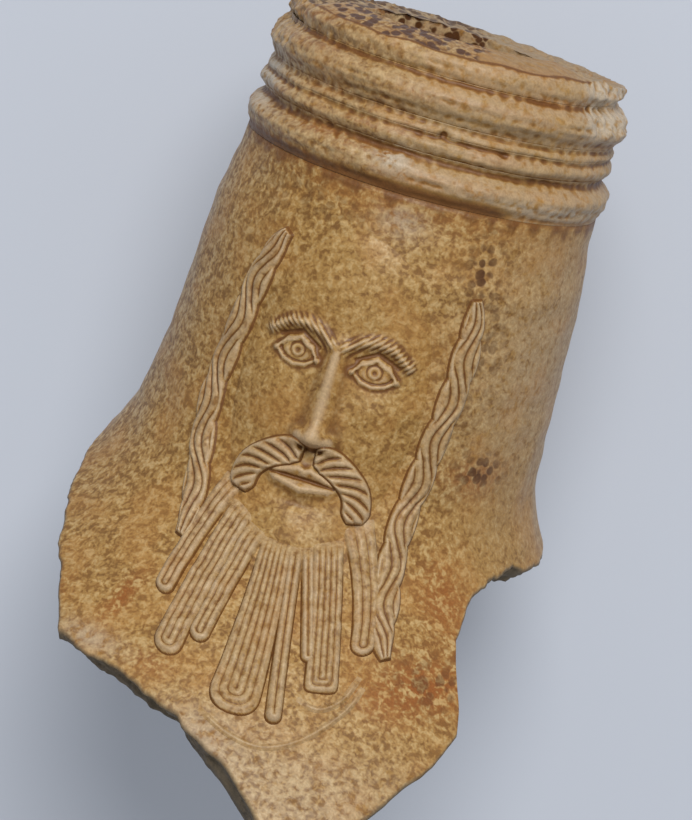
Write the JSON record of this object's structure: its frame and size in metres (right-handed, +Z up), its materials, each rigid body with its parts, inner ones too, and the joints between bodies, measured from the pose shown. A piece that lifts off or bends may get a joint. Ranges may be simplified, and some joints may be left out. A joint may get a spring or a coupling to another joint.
{
  "type": "jug neck fragment",
  "caption": "Broken mouth, neck and shoulder tongue of a salt-glazed stoneware jug, with turned rim bands, a handle stub and a bearded face in relief, lying on its back.",
  "frame": {"origin": "middle of the underside of the whole piece's box, on the table that it lies on", "axes": "+Y towards the mouth, +Z up, so the face looks up, and +X to the right of a viewer who looks down with the mouth at the top"},
  "size_m": [0.0634, 0.1106, 0.0852],
  "materials": {
    "stoneware_body": "mottled salt glaze over brown slip, satin, with rough broken edges",
    "stoneware_bands": "mottled salt glaze, darker in the grooves",
    "stoneware_relief": "salt glaze, paler on the ridges and brown in the hollows"
  },
  "bodies": {
    "root": {"beard_lock_1": "stoneware_relief", "beard_lock_2": "stoneware_relief", "beard_lock_3": "stoneware_relief", "beard_lock_4": "stoneware_relief", "beard_lock_5": "stoneware_relief", "beard_lock_6": "stoneware_relief", "beard_lock_7": "stoneware_relief", "beard_lock_8": "stoneware_relief", "broad_cordon": "stoneware_bands", "collar_band": "stoneware_bands", "face_plate": "stoneware_relief", "hair_strand_left_1": "stoneware_relief", "hair_strand_left_2": "stoneware_relief", "hair_strand_left_3": "stoneware_relief", "hair_strand_right_1": "stoneware_relief", "hair_strand_right_2": "stoneware_relief", "hair_strand_right_3": "stoneware_relief", "handle_stub": "stoneware_body", "left_brow": "stoneware_relief", "left_eye": "stoneware_relief", "lip": "stoneware_bands", "lower_fine_cordon": "stoneware_bands", "lower_lip": "stoneware_relief", "moustache_left": "stoneware_relief", "moustache_right": "stoneware_relief", "neck_wall": "stoneware_body", "nose": "stoneware_relief", "right_brow": "stoneware_relief", "right_eye": "stoneware_relief", "upper_fine_cordon": "stoneware_bands", "upper_lip": "stoneware_relief"}
  },
  "joints": []
}
